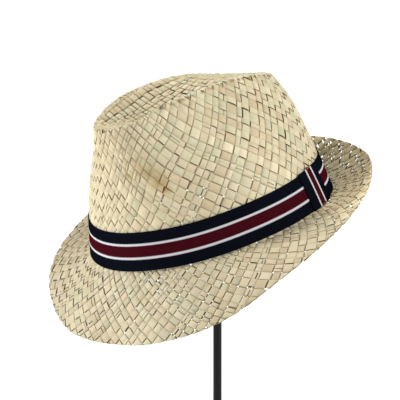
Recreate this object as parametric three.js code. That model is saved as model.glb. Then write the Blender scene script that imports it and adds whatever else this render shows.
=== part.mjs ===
// A plaited straw trilby with a striped ribbon, on a plain post stand.
// Millimetres, +Z up. The stand's base sits on Z = 0 with its middle at the origin,
// the hat's front faces -Y and the wearer's left is +X.

import * as THREE from 'three';
import { mergeVertices } from 'three/addons/utils/BufferGeometryUtils.js';

// ---------------------------------------------------------------- driving sizes

const STRAW = 1.8;               // thickness of the plaited straw wall
const SEAM_GAP = 0.3;            // air left between pieces that touch

const HEAD_FRONT = 99;           // half length of the crown's foot, forwards
const HEAD_BACK = 94;            // half length of the crown's foot, backwards
const HEAD_SIDE = 86;            // half width of the crown's foot
const FOOT_RISE = 2.1;           // the foot line is this much higher at the front than at the back
const FOOT_SAG = 1.8;            // and this much lower over the front and back than at the ears
const WALL_LEAN = 11;            // degrees that the crown wall leans in above the foot

const RIBBON_WIDTH = 27.5;
const RIBBON_THICK = 0.7;
const KEEPER_WIDTH = RIBBON_WIDTH;   // a piece of the same ribbon
const KEEPER_TURN = 106.4;       // degrees round from the front towards the wearer's left
const RIBBON_LIFT = 1;           // the ribbon's lower edge clears the turn of the brim

const SHOULDER = 0.33;           // share of the wall that bends over to meet the crest

const PINCH_DEPTH = 1.5;         // finger hollow below the crest, on each side of the front
const PINCH_TURN = 52;
const PINCH_SPREAD = 16;         // degrees
const PINCH_UP = 0.85;           // its place up the wall, 0 at the foot and 1 at the crest
const PINCH_TALL = 0.12;

const HAT_TIP_FORWARD = 14.15;   // degrees that the hat is tipped on its stand
const HAT_TIP_SIDE = -6.26;
const HAT_HEIGHT = 232;          // height of the middle of the crown's foot over the floor
const HAT_OFFSET_X = -2.1;       // place of that middle from the post
const HAT_OFFSET_Y = -1.8;

const POST_RADIUS = 3.2;
const BASE_RADIUS = 85;
const BASE_THICK = 9;
const BASE_EDGE = 2.5;           // rounding of the base's edges
const CAP_RADIUS = 34;           // plain domed cap inside the crown
const CAP_CURVE = 62;            // radius of the dome's curve
const CAP_EDGE = 4;              // thickness of the cap at its edge

const TURNS = 72;                // steps round the hat
const BRIM_ROWS = 6;
const WALL_ROWS = 11;
const TOP_ROWS = 6;
const ROUND_STEPS = 40;          // steps round the stand's pieces
const EDGE_STEPS = 3;            // steps in the rounding of the base's edges

// The crest that runs round the top of the crown: its place, how steeply the wall falls from it
// in degrees, and how far up the wall keeps the lean that it has at the foot.
const CREST = [
  { turn: 0, x: 0, y: -83.5, z: 101.6, fall: 86, straight: 0.48 },
  { turn: 12, x: 9.5, y: -82, z: 101.8, fall: 84, straight: 0.53 },
  { turn: 28, x: 19, y: -72, z: 102.9, fall: 74, straight: 0.6 },
  { turn: 48, x: 26.5, y: -49, z: 106.4, fall: 62, straight: 0.62 },
  { turn: 72, x: 33.5, y: -18, z: 105.8, fall: 54, straight: 0.55 },
  { turn: 98, x: 35.5, y: 16, z: 102.2, fall: 50, straight: 0.45 },
  { turn: 125, x: 38, y: 46, z: 95, fall: 52, straight: 0.37 },
  { turn: 152, x: 27, y: 67, z: 87.8, fall: 58, straight: 0.37 },
  { turn: 180, x: 0, y: 76, z: 84.6, fall: 60, straight: 0.37 },
];

// The valley of the dent, along the middle of the top. dome is 0 where the crown is dished
// and 1 where it is domed.
const VALLEY = [
  { turn: 0, y: -68, z: 98.5, dome: 0 },
  { turn: 12, y: -66, z: 98, dome: 0 },
  { turn: 28, y: -57, z: 95.5, dome: 0 },
  { turn: 48, y: -38, z: 91, dome: 0 },
  { turn: 72, y: -10, z: 90, dome: 0 },
  { turn: 98, y: 16, z: 92, dome: 0.1 },
  { turn: 125, y: 38, z: 94.5, dome: 1 },
  { turn: 152, y: 48, z: 94, dome: 1 },
  { turn: 180, y: 52, z: 93, dome: 1 },
];

// The brim: its width, and its slope at the crown and from crown to edge, up being positive.
const BRIM = [
  { turn: 0, width: 51, start: -45, chord: -56.3 },
  { turn: 20, width: 51.8, start: -38, chord: -48.9 },
  { turn: 40, width: 49.1, start: -28, chord: -41 },
  { turn: 60, width: 43.8, start: -12, chord: -20.9 },
  { turn: 80, width: 39.4, start: -3, chord: -5.9 },
  { turn: 100, width: 36.9, start: 2, chord: 8 },
  { turn: 125, width: 35, start: 8, chord: 23.1 },
  { turn: 150, width: 34.8, start: 12, chord: 29.1 },
  { turn: 180, width: 31.4, start: 22, chord: 47.9 },
];

const STRAW_COLOUR = 0xd9cfab;
const RIBBON_COLOUR = 0x141a2a;
const KEEPER_COLOUR = 0x55141f;
const STAND_COLOUR = 0x101010;

// ---------------------------------------------------------------- shape of the hat

const radians = THREE.MathUtils.degToRad;

// Smooth curve through one column of a table that covers the right half of the hat.
// Past the front and the back it goes on as a mirror image, with its sign turned where odd.
function column(table, name, turn, odd = false) {
  const sign = odd ? -1 : 1;
  const last = table.length - 1;
  const knots = [];
  for (let i = 2; i > 0; i -= 1) knots.push([-table[i].turn, sign * table[i][name]]);
  for (const row of table) knots.push([row.turn, row[name]]);
  for (let i = 1; i < 3; i += 1) {
    knots.push([360 - table[last - i].turn, sign * table[last - i][name]]);
  }
  let k = 1;
  while (k < knots.length - 3 && knots[k + 1][0] <= turn) k += 1;
  const tangent = (i) => {
    const before = knots[i][0] - knots[i - 1][0];
    const after = knots[i + 1][0] - knots[i][0];
    const slopeBefore = (knots[i][1] - knots[i - 1][1]) / before;
    const slopeAfter = (knots[i + 1][1] - knots[i][1]) / after;
    return (slopeBefore * after + slopeAfter * before) / (before + after);
  };
  const [start, from] = knots[k];
  const [end, to] = knots[k + 1];
  const step = end - start;
  const t = (turn - start) / step;
  const rise = (3 - 2 * t) * t * t;
  const leave = t * (1 - t) * (1 - t) * step * tangent(k);
  const arrive = t * t * (t - 1) * step * tangent(k + 1);
  return from + (to - from) * rise + leave + arrive;
}

// A turn of -180 to 180 degrees has a side of the hat, and a place in the tables.
function halfTurn(turn) {
  const wrapped = THREE.MathUtils.euclideanModulo(turn + 180, 360) - 180;
  return { side: wrapped < 0 ? -1 : 1, turn: Math.abs(wrapped) };
}

// The foot line, where the crown's wall meets the brim.
function footPoint(turn) {
  const angle = radians(turn);
  const length = Math.cos(angle) > 0 ? HEAD_FRONT : HEAD_BACK;
  const z = FOOT_RISE * Math.cos(angle) - FOOT_SAG * Math.cos(2 * angle);
  return new THREE.Vector3(HEAD_SIDE * Math.sin(angle), -length * Math.cos(angle), z);
}

// Level direction that points straight out from the foot line.
function footOutward(turn) {
  const angle = radians(turn);
  const length = Math.cos(angle) > 0 ? HEAD_FRONT : HEAD_BACK;
  return new THREE.Vector3(Math.sin(angle) / HEAD_SIDE, -Math.cos(angle) / length, 0).normalize();
}

function crestPoint(turn) {
  const at = halfTurn(turn);
  return new THREE.Vector3(
    at.side * column(CREST, 'x', at.turn, true),
    column(CREST, 'y', at.turn),
    column(CREST, 'z', at.turn),
  );
}

function valleyPoint(turn) {
  const at = halfTurn(turn);
  return new THREE.Vector3(0, column(VALLEY, 'y', at.turn), column(VALLEY, 'z', at.turn));
}

// The crown's wall, from the foot (up = 0) to the crest (up = 1).
function wallPoint(turn, up) {
  const at = halfTurn(turn);
  const foot = footPoint(turn);
  const crest = crestPoint(turn);
  const outward = footOutward(turn);
  const reach = foot.distanceTo(crest);
  const lean = radians(WALL_LEAN);
  const rise = outward.clone().multiplyScalar(-Math.sin(lean)).setZ(Math.cos(lean));
  const fall = radians(column(CREST, 'fall', at.turn));
  const shoulder = foot.clone().sub(crest).setZ(0).normalize().multiplyScalar(Math.cos(fall));
  shoulder.setZ(-Math.sin(fall));
  const curve = new THREE.CubicBezierCurve3(
    foot,
    foot.clone().addScaledVector(rise, column(CREST, 'straight', at.turn) * reach),
    crest.clone().addScaledVector(shoulder, SHOULDER * reach),
    crest,
  );
  const round = (at.turn - PINCH_TURN) / PINCH_SPREAD;
  const height = (up - PINCH_UP) / PINCH_TALL;
  const pinch = PINCH_DEPTH * Math.exp(-round * round - height * height);
  const fade = 1 - up ** 12;
  return curve.getPoint(up).addScaledVector(outward, -pinch * fade);
}

// The dished top, from the crest (across = 0) to the middle of the dent (across = 1).
function topPoint(turn, across) {
  const at = halfTurn(turn);
  const crest = crestPoint(turn);
  const valley = valleyPoint(turn);
  const dome = THREE.MathUtils.clamp(column(VALLEY, 'dome', at.turn), 0, 1);
  const dished = (1 - across) ** 2;
  const domed = 1 - across ** 1.8;
  const height = THREE.MathUtils.lerp(dished, domed, dome);
  const point = crest.clone().lerp(valley, across);
  return point.setZ(THREE.MathUtils.lerp(valley.z, crest.z, height));
}

// The brim, from the foot (out = 0) to its edge (out = 1).
function brimPoint(turn, out) {
  const at = halfTurn(turn);
  const width = column(BRIM, 'width', at.turn);
  const chord = radians(column(BRIM, 'chord', at.turn));
  const start = radians(column(BRIM, 'start', at.turn));
  const bend = new THREE.Vector2(Math.cos(start), Math.sin(start)).multiplyScalar(width / 2);
  const edge = new THREE.Vector2(Math.cos(chord), Math.sin(chord)).multiplyScalar(width);
  const curve = new THREE.QuadraticBezierCurve(new THREE.Vector2(), bend, edge);
  const profile = curve.getPoint(out);
  const point = footPoint(turn).addScaledVector(footOutward(turn), profile.x);
  return point.setZ(point.z + profile.y);
}

// A point over the wall: so far up it from the foot, and so far out from the straw.
function overWall(turn, climb, away) {
  const STEP = 0.004;
  let up = 0;
  let here = wallPoint(turn, 0);
  let climbed = 0;
  while (climbed < climb) {
    const next = wallPoint(turn, up + STEP);
    climbed += next.distanceTo(here);
    here = next;
    up += STEP;
  }
  const along = wallPoint(turn + 1, up).sub(wallPoint(turn - 1, up));
  const upward = wallPoint(turn, up + STEP).sub(wallPoint(turn, Math.max(up - STEP, 0)));
  const outward = along.cross(upward).normalize();
  return here.addScaledVector(outward, away);
}

// ---------------------------------------------------------------- making closed meshes

function geometryOf(points, faces) {
  const geometry = new THREE.BufferGeometry();
  geometry.setAttribute('position', new THREE.Float32BufferAttribute(points.flatMap((p) => [...p]), 3));
  geometry.setIndex(faces.flat());
  return geometry;
}

// A body swept through sections, which all have the same number of points. It joins up with
// itself, unless an outline (away, climb) of the section is given to cap its two ends with.
function sweptBody(sections, outline) {
  const size = sections[0].length;
  const count = sections.length;
  const faces = [];
  for (let i = 0; i < (outline ? count - 1 : count); i += 1) {
    const next = (i + 1) % count;
    for (let j = 0; j < size; j += 1) {
      const k = (j + 1) % size;
      faces.push([i * size + j, next * size + j, next * size + k]);
      faces.push([i * size + j, next * size + k, i * size + k]);
    }
  }
  if (outline) {
    const far = (count - 1) * size;
    for (const [a, b, c] of THREE.ShapeUtils.triangulateShape(outline, [])) {
      faces.push([a, b, c], [far + a, far + c, far + b]);
    }
  }
  return geometryOf(sections.flat(), faces);
}

// The straw body: the outer face of the hat as rows of points from the dent to the brim's edge,
// and the same face again, moved in by the wall's thickness.
function strawGeometry() {
  const rows = [];
  for (let j = 0; j <= TOP_ROWS; j += 1) rows.push((turn) => topPoint(turn, 1 - j / TOP_ROWS));
  for (let j = 1; j <= WALL_ROWS; j += 1) rows.push((turn) => wallPoint(turn, 1 - j / WALL_ROWS));
  for (let j = 1; j <= BRIM_ROWS; j += 1) rows.push((turn) => brimPoint(turn, j / BRIM_ROWS));

  const points = [];
  const faces = [];
  const last = rows.length - 1;
  for (const row of rows) {
    for (let i = 0; i < TURNS; i += 1) points.push(row((360 * i) / TURNS));
  }
  for (let j = 0; j < last; j += 1) {
    for (let i = 0; i < TURNS; i += 1) {
      const k = (i + 1) % TURNS;
      const [a, b] = [j * TURNS + i, j * TURNS + k];
      const [c, d] = [a + TURNS, b + TURNS];
      if (b !== a) faces.push([a, c, d], [a, d, b]);
    }
  }
  const face = mergeVertices(geometryOf(points, faces), 1e-4);
  face.computeVertexNormals();

  const place = face.getAttribute('position');
  const normal = face.getAttribute('normal');
  const outer = [];
  const inner = [];
  for (let i = 0; i < place.count; i += 1) {
    const point = new THREE.Vector3().fromBufferAttribute(place, i);
    const inward = new THREE.Vector3().fromBufferAttribute(normal, i);
    outer.push(point);
    inner.push(point.clone().addScaledVector(inward, -STRAW));
  }
  const index = [...face.getIndex().array];
  const both = [];
  const edges = new Map();
  for (let i = 0; i < index.length; i += 3) {
    const [a, b, c] = index.slice(i, i + 3);
    if (a === b || b === c || c === a) continue;
    both.push([a, b, c], [a + place.count, c + place.count, b + place.count]);
    for (const [p, q] of [[a, b], [b, c], [c, a]]) {
      if (!edges.delete(`${q} ${p}`)) edges.set(`${p} ${q}`, [p, q]);
    }
  }
  for (const [p, q] of edges.values()) {
    both.push([q, p, p + place.count], [q, p + place.count, q + place.count]);
  }
  return geometryOf([...outer, ...inner], both);
}

// The ribbon: a flat band wound round the foot of the crown.
function ribbonGeometry() {
  const ROWS = 3;
  const near = SEAM_GAP;
  const far = near + RIBBON_THICK;
  const outline = [];
  for (let j = 0; j <= ROWS; j += 1) outline.push([far, RIBBON_LIFT + (RIBBON_WIDTH * j) / ROWS]);
  for (let j = ROWS; j >= 0; j -= 1) outline.push([near, RIBBON_LIFT + (RIBBON_WIDTH * j) / ROWS]);
  const sections = [];
  for (let i = 0; i < TURNS; i += 1) {
    sections.push(outline.map(([away, climb]) => overWall((360 * i) / TURNS, climb, away)));
  }
  return sweptBody(sections);
}

// The keeper: a short length of ribbon laid over the band and folded in over its upper edge.
function keeperGeometry() {
  const STEPS = 4;
  const back = 2 * SEAM_GAP + RIBBON_THICK;
  const face = back + RIBBON_THICK;
  const low = RIBBON_LIFT;
  const tuck = RIBBON_LIFT + RIBBON_WIDTH + SEAM_GAP;
  const high = tuck + RIBBON_THICK;
  const outline = [
    new THREE.Vector2(back, low),
    new THREE.Vector2(face, low),
    new THREE.Vector2(face, RIBBON_WIDTH / 2),
    new THREE.Vector2(face, high),
    new THREE.Vector2(SEAM_GAP, high),
    new THREE.Vector2(SEAM_GAP, tuck),
    new THREE.Vector2(back, tuck),
    new THREE.Vector2(back, RIBBON_WIDTH / 2),
  ];
  const spread = THREE.MathUtils.radToDeg(KEEPER_WIDTH / ((HEAD_SIDE + HEAD_BACK) / 2));
  const sections = [];
  for (let i = 0; i <= STEPS; i += 1) {
    const turn = KEEPER_TURN + spread * (i / STEPS - 0.5);
    sections.push(outline.map((at) => overWall(turn, at.y, at.x)));
  }
  return sweptBody(sections, outline);
}

// ---------------------------------------------------------------- the stand

function turned(profile) {
  return new THREE.LatheGeometry(profile.map(([r, z]) => new THREE.Vector2(r, z)), ROUND_STEPS)
    .rotateX(Math.PI / 2);
}

function baseGeometry() {
  const profile = [[0, 0], [BASE_RADIUS - BASE_EDGE, 0]];
  for (let i = 1; i <= EDGE_STEPS; i += 1) {
    const angle = (i / EDGE_STEPS) * (Math.PI / 2) - Math.PI / 2;
    profile.push([
      BASE_RADIUS - BASE_EDGE * (1 - Math.cos(angle)),
      BASE_EDGE * (1 + Math.sin(angle)),
    ]);
  }
  for (let i = 0; i <= EDGE_STEPS; i += 1) {
    const angle = (i / EDGE_STEPS) * (Math.PI / 2);
    profile.push([
      BASE_RADIUS - BASE_EDGE * (1 - Math.cos(angle)),
      BASE_THICK - BASE_EDGE * (1 - Math.sin(angle)),
    ]);
  }
  profile.push([0, BASE_THICK]);
  return turned(profile);
}

// Height of the cap's dome under its tip, so far out from the post.
function domeDrop(radius) {
  return CAP_CURVE - Math.sqrt(CAP_CURVE * CAP_CURVE - radius * radius);
}

function capGeometry() {
  const profile = [];
  const edge = domeDrop(CAP_RADIUS);
  const RINGS = 6;
  profile.push([0, -edge - CAP_EDGE], [CAP_RADIUS, -edge - CAP_EDGE]);
  for (let i = 0; i <= RINGS; i += 1) {
    const radius = CAP_RADIUS * (1 - i / RINGS);
    profile.push([radius, -domeDrop(radius)]);
  }
  return turned(profile);
}

// The cap is pushed up until its dome all but touches the inside of the crown.
function capHeight(straw) {
  const place = straw.geometry.getAttribute('position');
  let height = Infinity;
  for (let i = 0; i < place.count; i += 1) {
    const point = new THREE.Vector3().fromBufferAttribute(place, i).applyMatrix4(straw.matrixWorld);
    const radius = Math.hypot(point.x, point.y);
    if (radius < CAP_RADIUS) height = Math.min(height, point.z + domeDrop(radius));
  }
  return height - SEAM_GAP;
}

// ---------------------------------------------------------------- assembly

function mesh(name, geometry, color, roughness, metalness) {
  const body = new THREE.Mesh(geometry, new THREE.MeshStandardMaterial({ color, roughness, metalness }));
  body.name = name;
  return body;
}

const part = new THREE.Group();

const hat = new THREE.Group();
hat.position.set(HAT_OFFSET_X, HAT_OFFSET_Y, HAT_HEIGHT);
hat.rotation.set(radians(HAT_TIP_FORWARD), radians(HAT_TIP_SIDE), 0);
part.add(hat);

const straw = mesh('straw_hat', strawGeometry(), STRAW_COLOUR, 0.8, 0);
hat.add(straw);
hat.add(mesh('ribbon_band', ribbonGeometry(), RIBBON_COLOUR, 0.75, 0));
hat.add(mesh('ribbon_keeper', keeperGeometry(), KEEPER_COLOUR, 0.75, 0));

part.updateMatrixWorld(true);
const capTip = capHeight(straw);
const capFoot = capTip - domeDrop(CAP_RADIUS) - CAP_EDGE;
const postFoot = BASE_THICK + SEAM_GAP;
const postLength = capFoot - SEAM_GAP - postFoot;

part.add(mesh('stand_base', baseGeometry(), STAND_COLOUR, 0.35, 0.6));

const post = new THREE.CylinderGeometry(POST_RADIUS, POST_RADIUS, postLength, 24).rotateX(Math.PI / 2);
const rod = mesh('stand_post', post, STAND_COLOUR, 0.3, 0.6);
rod.position.z = postFoot + postLength / 2;
part.add(rod);

const cap = mesh('stand_cap', capGeometry(), STAND_COLOUR, 0.5, 0);
cap.position.z = capTip;
part.add(cap);

export default part;
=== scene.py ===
"""Looks of a plaited straw trilby on a plain post stand, laid out as a Blender add-on.

The shape functions work in the hat's own frame, in millimetres: the middle of the crown's foot
is the origin, the front faces -Y and the wearer's left is +X. A turn is an angle round the hat,
in degrees from the front towards the wearer's left.
"""

import math

import bpy
import numpy as np
from mathutils import Matrix, Vector


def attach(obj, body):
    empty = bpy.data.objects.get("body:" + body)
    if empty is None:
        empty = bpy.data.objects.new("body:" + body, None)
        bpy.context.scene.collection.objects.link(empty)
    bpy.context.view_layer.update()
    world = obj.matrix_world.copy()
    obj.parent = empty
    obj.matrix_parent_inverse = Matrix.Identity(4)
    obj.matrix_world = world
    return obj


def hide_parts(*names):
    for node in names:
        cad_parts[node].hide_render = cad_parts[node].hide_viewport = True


bl_info = {
    "name": "Plaited Trilby",
    "version": (1, 0, 0),
    "blender": (4, 5, 0),
    "location": "3D View > Sidebar > Trilby",
    "description": "Builds a plaited straw trilby with a striped ribbon on a post stand",
    "category": "Object",
}

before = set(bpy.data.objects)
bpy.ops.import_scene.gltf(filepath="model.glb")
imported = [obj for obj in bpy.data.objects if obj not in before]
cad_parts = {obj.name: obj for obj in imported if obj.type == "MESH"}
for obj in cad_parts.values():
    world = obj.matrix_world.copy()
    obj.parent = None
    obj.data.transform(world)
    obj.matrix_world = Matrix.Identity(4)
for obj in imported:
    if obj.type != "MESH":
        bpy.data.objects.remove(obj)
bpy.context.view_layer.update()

# ---------------------------------------------------------------- shape of the hat

# The oval foot of the crown: how far it reaches each way, how much its front is lifted over its
# back, and how much both are lowered against the sides.
HEAD_FRONT = 99.0
HEAD_BACK = 94.0
HEAD_SIDE = 86.0
FOOT_RISE = 2.1
FOOT_SAG = 1.8

# The wall: its lean at the foot, how hard it bends over to the crest, and the finger hollow on
# each side, with its turn and width in degrees and its place and height as shares of the wall.
WALL_LEAN = 11.0
SHOULDER = 0.33
PINCH_DEPTH = 1.5
PINCH_TURN = 52.0
PINCH_SPREAD = 16.0
PINCH_UP = 0.85
PINCH_TALL = 0.12

# Where the middle of the crown's foot is, in metres, and how far the hat is tipped.
HAT_PLACE = (-0.0021, -0.0018, 0.232)
HAT_TIP_FORWARD = 14.15
HAT_TIP_SIDE = -6.26

# The crest round the top of the crown: its place, how steeply the wall falls from it, and how
# far up the wall keeps the lean that it has at its foot.
CREST = {
    "turn": (0, 12, 28, 48, 72, 98, 125, 152, 180),
    "x": (0, 9.5, 19, 26.5, 33.5, 35.5, 38, 27, 0),
    "y": (-83.5, -82, -72, -49, -18, 16, 46, 67, 76),
    "z": (101.6, 101.8, 102.9, 106.4, 105.8, 102.2, 95, 87.8, 84.6),
    "fall": (86, 84, 74, 62, 54, 50, 52, 58, 60),
    "straight": (0.48, 0.53, 0.6, 0.62, 0.55, 0.45, 0.37, 0.37, 0.37),
}

# The valley of the dent, and where the top is dished (0) or domed (1).
VALLEY = {
    "turn": (0, 12, 28, 48, 72, 98, 125, 152, 180),
    "y": (-68, -66, -57, -38, -10, 16, 38, 48, 52),
    "z": (98.5, 98, 95.5, 91, 90, 92, 94.5, 94, 93),
    "dome": (0, 0, 0, 0, 0, 0.1, 1, 1, 1),
}

# The brim: its width, and its slope at the crown and from the crown to its edge.
BRIM = {
    "turn": (0, 20, 40, 60, 80, 100, 125, 150, 180),
    "width": (51, 51.8, 49.1, 43.8, 39.4, 36.9, 35, 34.8, 31.4),
    "start": (-45, -38, -28, -12, -3, 2, 8, 12, 22),
    "chord": (-56.3, -48.9, -41, -20.9, -5.9, 8, 23.1, 29.1, 47.9),
}


def column(table, name, turn, odd=False):
    """Smooth curve through one column of a table, mirrored past the front and the back."""
    sign = -1.0 if odd else 1.0
    turns = np.array(table["turn"], float)
    values = np.array(table[name], float)
    knots = np.concatenate([-turns[2:0:-1], turns, 360 - turns[-2:-4:-1]])
    heights = np.concatenate([sign * values[2:0:-1], values, sign * values[-2:-4:-1]])
    slopes = np.gradient(heights, knots)
    place = np.clip(np.searchsorted(knots, turn, side="right") - 1, 2, len(knots) - 4)
    step = knots[place + 1] - knots[place]
    t = (turn - knots[place]) / step
    rise = (3 - 2 * t) * t * t
    leave = t * (1 - t) ** 2 * step * slopes[place]
    arrive = t * t * (t - 1) * step * slopes[place + 1]
    return heights[place] + (heights[place + 1] - heights[place]) * rise + leave + arrive


def half_turn(turn):
    """The side of the hat that a turn is on, and its place in the tables."""
    wrapped = (np.asarray(turn, float) + 180) % 360 - 180
    return np.where(wrapped < 0, -1.0, 1.0), np.abs(wrapped)


def foot_point(turn):
    """The foot of the crown, where the brim starts."""
    angle = np.radians(turn)
    length = np.where(np.cos(angle) > 0, HEAD_FRONT, HEAD_BACK)
    z = FOOT_RISE * np.cos(angle) - FOOT_SAG * np.cos(2 * angle)
    return np.stack([HEAD_SIDE * np.sin(angle), -length * np.cos(angle), z], -1)


def foot_outward(turn):
    """The level way out from the foot."""
    angle = np.radians(turn)
    length = np.where(np.cos(angle) > 0, HEAD_FRONT, HEAD_BACK)
    way = np.stack([np.sin(angle) / HEAD_SIDE, -np.cos(angle) / length, 0 * angle], -1)
    return unit(way)


def unit(way):
    """The same ways with a length of 1."""
    return way / np.maximum(np.linalg.norm(way, axis=-1, keepdims=True), 1e-9)


def crest_point(turn):
    """The crest, where the wall meets the dished top."""
    side, at = half_turn(turn)
    x = side * column(CREST, "x", at, True)
    return np.stack([x, column(CREST, "y", at), column(CREST, "z", at)], -1)


def valley_point(turn):
    """The middle line of the dent."""
    at = half_turn(turn)[1]
    return np.stack([0 * at, column(VALLEY, "y", at), column(VALLEY, "z", at)], -1)


def wall_point(turn, up):
    """The crown's wall, from its foot (up = 0) to the crest (up = 1)."""
    at = half_turn(turn)[1]
    foot = foot_point(turn)
    crest = crest_point(turn)
    outward = foot_outward(turn)
    reach = np.linalg.norm(crest - foot, axis=-1)[..., None]
    lean = math.radians(WALL_LEAN)
    rise = -math.sin(lean) * outward
    rise[..., 2] = math.cos(lean)
    fall = np.radians(column(CREST, "fall", at))[..., None]
    shoulder = foot - crest
    shoulder[..., 2] = 0
    shoulder = unit(shoulder) * np.cos(fall)
    shoulder[..., 2] = -np.sin(fall[..., 0])
    straight = column(CREST, "straight", at)[..., None]
    second = foot + rise * straight * reach
    third = crest + shoulder * SHOULDER * reach
    u = np.asarray(up, float)[..., None]
    point = (1 - u) ** 3 * foot + 3 * (1 - u) ** 2 * u * second
    point = point + 3 * (1 - u) * u * u * third + u ** 3 * crest
    aside = (at - PINCH_TURN) / PINCH_SPREAD
    height = (u[..., 0] - PINCH_UP) / PINCH_TALL
    pinch = PINCH_DEPTH * np.exp(-aside ** 2 - height ** 2) * (1 - u[..., 0] ** 12)
    return point - outward * pinch[..., None]


def top_point(turn, across):
    """The dished top, from the crest (across = 0) to the middle of the dent (across = 1)."""
    at = half_turn(turn)[1]
    crest = crest_point(turn)
    valley = valley_point(turn)
    dome = np.clip(column(VALLEY, "dome", at), 0, 1)
    across = np.asarray(across, float)
    level = np.clip(across, 0, 1)
    height = (1 - dome) * (1 - across) ** 2 + dome * (1 - level ** 1.8)
    point = crest + (valley - crest) * across[..., None]
    point[..., 2] = valley[..., 2] + (crest[..., 2] - valley[..., 2]) * height
    return point


def brim_point(turn, out):
    """The brim, from the foot (out = 0) to its edge (out = 1)."""
    at = half_turn(turn)[1]
    width = column(BRIM, "width", at)
    chord = np.radians(column(BRIM, "chord", at))
    start = np.radians(column(BRIM, "start", at))
    bend = 2 * (1 - out) * out * width / 2
    edge = out * out * width
    away = bend * np.cos(start) + edge * np.cos(chord)
    point = foot_point(turn) + foot_outward(turn) * away[..., None]
    point[..., 2] += bend * np.sin(start) + edge * np.sin(chord)
    return point


# The notch of the crest. The hole in the plait, a little below the crest, and the painted shade
# round its place, which darkens the hole, are on the wearer's left only. The swirl of the plait
# further down is on both sides.
NOTCH = {
    "turn": 48.0,
    "below": 0.6,
    "hole": 1.3,
    "hole_reach": 2.2,
    "place": (26.4, -49.6, 105.8),
    "shaded": 2.7,
    "darkened": 0.94,
    "swirl": 11.0,
    "swirl_turn": 38.0,
    "swirl_climb": 86.0,
    "swirl_reach": 30.0,
    "mm_per_degree": 1.35,
}


class Lengths:
    """Arc lengths along a surface's lines from one end, so that places on it are in real size."""

    TURN_STEP = 2.0
    STEPS = 80
    FINE = 200

    def __init__(self, surface):
        self.turns = np.arange(0, 181, self.TURN_STEP)
        self.marks = np.linspace(0, 1, self.STEPS + 1)
        turn, mark = np.meshgrid(self.turns, self.marks, indexing="ij")
        steps = np.linalg.norm(np.diff(surface(turn, mark), axis=1), axis=-1)
        self.table = np.concatenate([np.zeros((len(self.turns), 1)), np.cumsum(steps, 1)], 1)
        even = np.linspace(0, 1, self.FINE + 1)
        self.inverse = np.stack([np.interp(even, line / line[-1], self.marks) for line in self.table])

    def whole(self, turn):
        return np.interp(half_turn(turn)[1], self.turns, self.table[:, -1])

    def mark(self, turn, length):
        """The surface's own coordinate at a length along its line."""
        at = half_turn(turn)[1] / self.TURN_STEP
        low = np.clip(np.floor(at).astype(int), 0, len(self.turns) - 2)
        share = at - low
        return (1 - share) * self.along(low, length) + share * self.along(low + 1, length)

    def along(self, row, length):
        at = np.clip(length / self.table[row, -1], 0, 1) * self.FINE
        low = np.clip(np.floor(at).astype(int), 0, self.FINE - 1)
        share = at - low
        return self.inverse[row, low] * (1 - share) + self.inverse[row, low + 1] * share


# How a line of the top is looked for: between which turns, how near the hat's middle, how far
# beyond the crest, and by how many halvings.
TOP_SEARCH = {"turns": (0.5, 179.5), "nearest": 0.4, "beyond": 1.15, "halvings": 26}

wall_lengths = Lengths(wall_point)
brim_lengths = Lengths(brim_point)
top_lengths = Lengths(top_point)


def crown_sheet(turn, climb):
    """A point of the crown so far up from the foot, over the crest and on into the dent."""
    whole = wall_lengths.whole(turn)
    wall = wall_point(turn, wall_lengths.mark(turn, np.minimum(climb, whole)))
    top = top_point(turn, top_lengths.mark(turn, np.maximum(climb - whole, 0)))
    return np.where((climb > whole)[..., None], top, wall)


def brim_sheet(turn, out):
    """A point of the brim so far out from the foot, or up the crown's wall where it is negative."""
    brim = brim_point(turn, brim_lengths.mark(turn, np.maximum(out, 0)))
    wall = wall_point(turn, wall_lengths.mark(turn, np.maximum(-out, 0)))
    return np.where((out > 0)[..., None], brim, wall)


def crown_warp(turn, climb):
    """Swirls the plait a little below the crest near the front, and opens a hole on the left."""
    side, at = half_turn(turn)
    along = (at - NOTCH["swirl_turn"]) * NOTCH["mm_per_degree"]
    above = climb - NOTCH["swirl_climb"]
    far = (along ** 2 + above ** 2) / NOTCH["swirl_reach"] ** 2
    angle = np.radians(NOTCH["swirl"]) * np.exp(-far)
    moved = along * np.cos(angle) + above * np.sin(angle)
    climb = NOTCH["swirl_climb"] - along * np.sin(angle) + above * np.cos(angle)
    at = NOTCH["swirl_turn"] + moved / NOTCH["mm_per_degree"]
    along = (at - NOTCH["turn"]) * NOTCH["mm_per_degree"]
    above = climb - (wall_lengths.whole(at) - NOTCH["below"])
    distance = np.maximum(np.hypot(along, above), 0.05)
    reach = NOTCH["hole_reach"] * NOTCH["hole"]
    push = NOTCH["hole"] * np.exp(-(distance / reach) ** 2) * (side > 0)
    at = at + along / distance * push / NOTCH["mm_per_degree"]
    climb = climb + above / distance * push
    return turn + side * (at - half_turn(turn)[1]), climb


def no_warp(turn, out):
    """The brim's plait lies as it is."""
    return turn, out


def crest_half_width(y):
    """Half the top's width at a place from front to back, 0 beyond the crest."""
    turn = np.linspace(0, 180, 361)
    line = crest_point(turn)
    return np.interp(y, line[:, 1], line[:, 0], left=0, right=0)


def share_out(x, turn):
    """How far out towards the crest a place is, as a share of the crest's own."""
    return x / np.maximum(column(CREST, "x", turn, True), 1e-3)


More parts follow.
